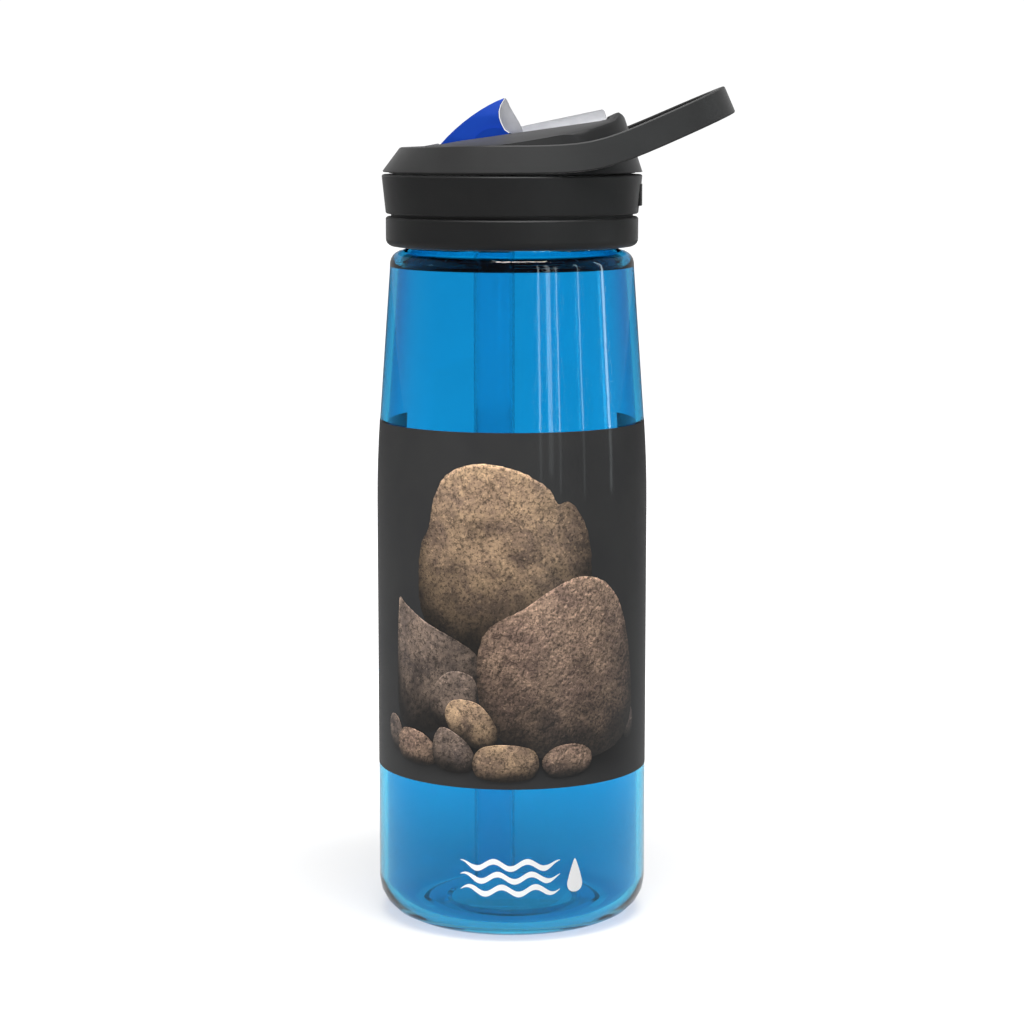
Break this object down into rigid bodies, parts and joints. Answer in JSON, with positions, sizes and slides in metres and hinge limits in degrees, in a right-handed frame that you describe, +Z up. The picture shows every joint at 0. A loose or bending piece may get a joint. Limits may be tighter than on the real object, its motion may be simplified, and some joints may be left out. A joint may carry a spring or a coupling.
{
  "type": "water bottle",
  "caption": "Clear tapered drinking bottle with a screw lid, a looped carry handle, a flip-up bite spout and a straw.",
  "frame": {"origin": "middle of the flat underside, where the bottle stands", "axes": "+Z up along the bottle, +X towards the carry handle, -Y the printed front"},
  "size_m": [0.1, 0.076, 0.2343],
  "materials": {
    "bottle_plastic": "clear tinted copolyester, polished",
    "lid_plastic": "satin moulded polypropylene",
    "lever_plastic": "satin moulded polypropylene",
    "clear_silicone": "translucent silicone, smooth",
    "seal_silicone": "translucent silicone, matte",
    "straw_plastic": "thin translucent polyethylene"
  },
  "bodies": {
    "bottle": {"bottle_body": "bottle_plastic"},
    "thread_lift": {"lid_gasket": "seal_silicone"},
    "lid": {"lid_base": "lid_plastic", "lid_cover": "lid_plastic", "grip_band": "lid_plastic", "lower_collar": "lid_plastic", "carry_handle": "lid_plastic", "vent_valve": "seal_silicone", "spout_seal": "seal_silicone", "straw": "straw_plastic"},
    "spout": {"spout_lever": "lever_plastic", "bite_valve": "clear_silicone"}
  },
  "joints": [
    {"name": "lid_lift", "type": "slide", "parent": "bottle", "child": "thread_lift", "axis": [0, 0, 1], "range_m": [0, 0.0051]},
    {"name": "lid_turn", "type": "hinge", "parent": "thread_lift", "child": "lid", "pos_m": [0, 0, 0.2], "axis": [0, 0, 1], "range_deg": [0, 450]},
    {"name": "spout_flip", "type": "hinge", "parent": "lid", "child": "spout", "pos_m": [-0.005, 0, 0.2164], "axis": [0, -1, 0], "range_deg": [0, 75]}
  ],
  "couplings": [
    {"joint": "lid_lift", "follows": "lid_turn", "m_per_rad": 0.00063662}
  ]
}
